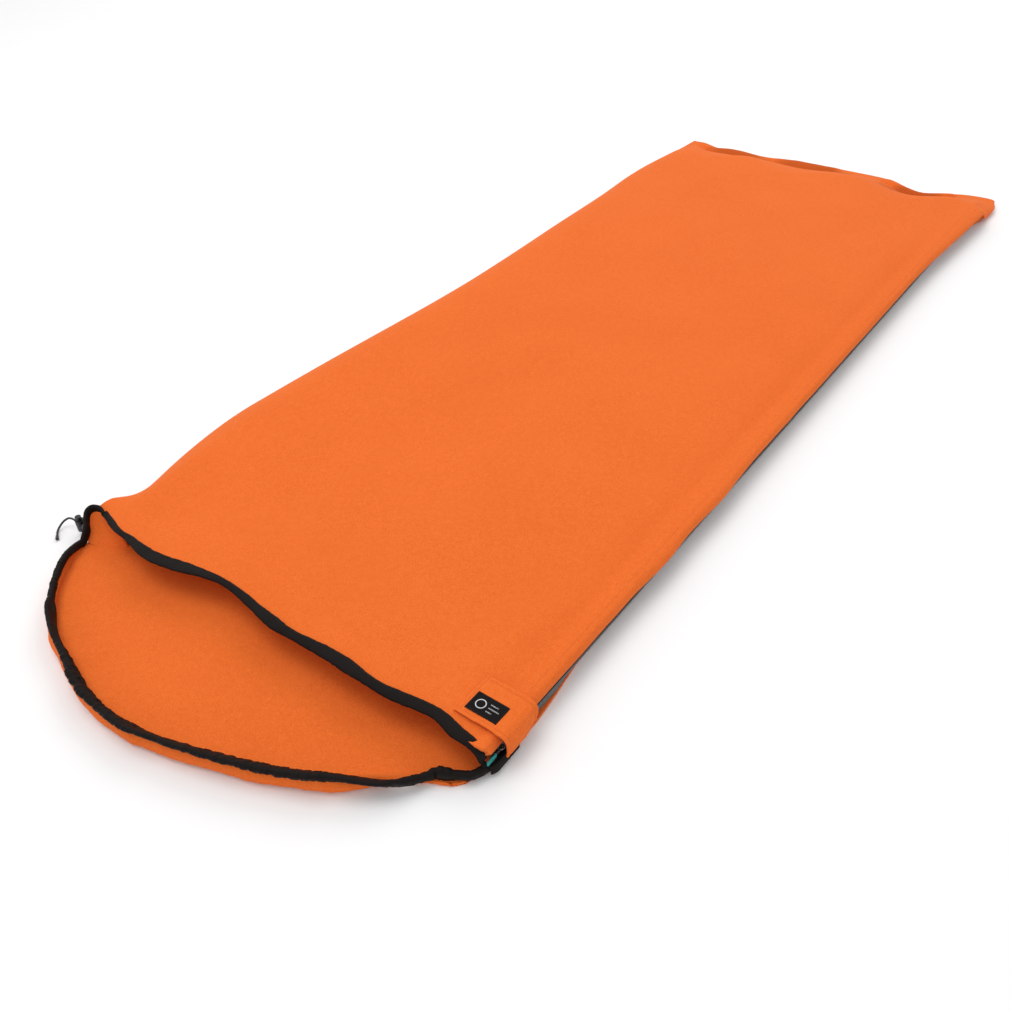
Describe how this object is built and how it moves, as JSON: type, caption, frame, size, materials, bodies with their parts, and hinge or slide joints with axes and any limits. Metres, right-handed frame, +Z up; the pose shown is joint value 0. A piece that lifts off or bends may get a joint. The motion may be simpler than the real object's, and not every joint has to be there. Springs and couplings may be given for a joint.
{
  "type": "hooded fleece sleeping bag liner",
  "caption": "Hooded envelope bag of fleece lying open, with a side zip under a garage flap, an edged collar and a drawcord hood with a cord lock.",
  "frame": {"origin": "on the ground under the middle of the bag's outline, the free cord left out", "axes": "+Y from the hood to the foot, +X to the zip side, +Z up from the ground"},
  "size_m": [0.76, 2.0799, 0.0492],
  "materials": {
    "fleece": "brushed knitted fleece, matt, fine pile",
    "binding": "woven nylon tape with a soft sheen",
    "tape": "woven zip tape",
    "coil": "moulded monofilament coil",
    "metal": "satin plated die casting",
    "plastic": "moulded, satin",
    "cord": "braided elastic cord",
    "grip": "soft moulded rubber",
    "label": "woven damask label",
    "spring": "drawn wire"
  },
  "bodies": {
    "bag": {"base_sheet": "fleece", "cover_foot": "fleece", "foot_seam": "fleece", "corner_loop": "binding", "corner_patch": "binding", "edging_end": "binding", "zip_tape_lower": "tape", "zip_coil_lower": "coil", "top_stop_lower": "metal", "bottom_stop": "metal", "cord_eyelet": "metal", "drawcord_tail": "cord", "cord_end": "plastic"},
    "cover": {"cover_flap": "fleece", "collar_binding": "binding", "zip_tape_upper": "tape", "zip_coil_upper": "coil", "top_stop_upper": "metal"},
    "garage": {"garage_flap": "fleece", "woven_label": "label"},
    "hood": {"hood_sheet": "fleece", "hood_channel": "binding", "hood_drawcord": "cord"},
    "slider": {"slider_body": "metal"},
    "pull": {"pull_tab": "metal", "pull_grip": "grip"},
    "lock": {"lock_barrel": "plastic", "lock_spring": "spring"},
    "plunger": {"lock_plunger": "plastic"}
  },
  "joints": [
    {"name": "cover_fold", "type": "hinge", "parent": "bag", "child": "cover", "pos_m": [0.01585, 0.03515, 0.0455], "axis": [-0.3756, -0.9268, 0], "range_deg": [0, 150]},
    {"name": "garage_lift", "type": "hinge", "parent": "cover", "child": "garage", "pos_m": [0.309, -0.785, 0.047], "axis": [0, -1, 0], "range_deg": [0, 110]},
    {"name": "hood_fold", "type": "hinge", "parent": "bag", "child": "hood", "pos_m": [0, -0.855, 0.019], "axis": [-1, 0, 0], "range_deg": [0, 100]},
    {"name": "zip_slide", "type": "slide", "parent": "bag", "child": "slider", "axis": [0, 1, 0], "range_m": [0, 1.688]},
    {"name": "pull_swing", "type": "hinge", "parent": "slider", "child": "pull", "pos_m": [0.36735, -0.808, 0.0192], "axis": [0, 0, 1], "range_deg": [0, 165]},
    {"name": "lock_slide", "type": "slide", "parent": "bag", "child": "lock", "axis": [-1, 0, 0], "range_m": [0, 0.01]},
    {"name": "plunger_press", "type": "slide", "parent": "lock", "child": "plunger", "axis": [0, 0, -1], "range_m": [0, 0.0035], "stiffness_N_per_m": 400, "deforming": ["lock_spring"]}
  ]
}
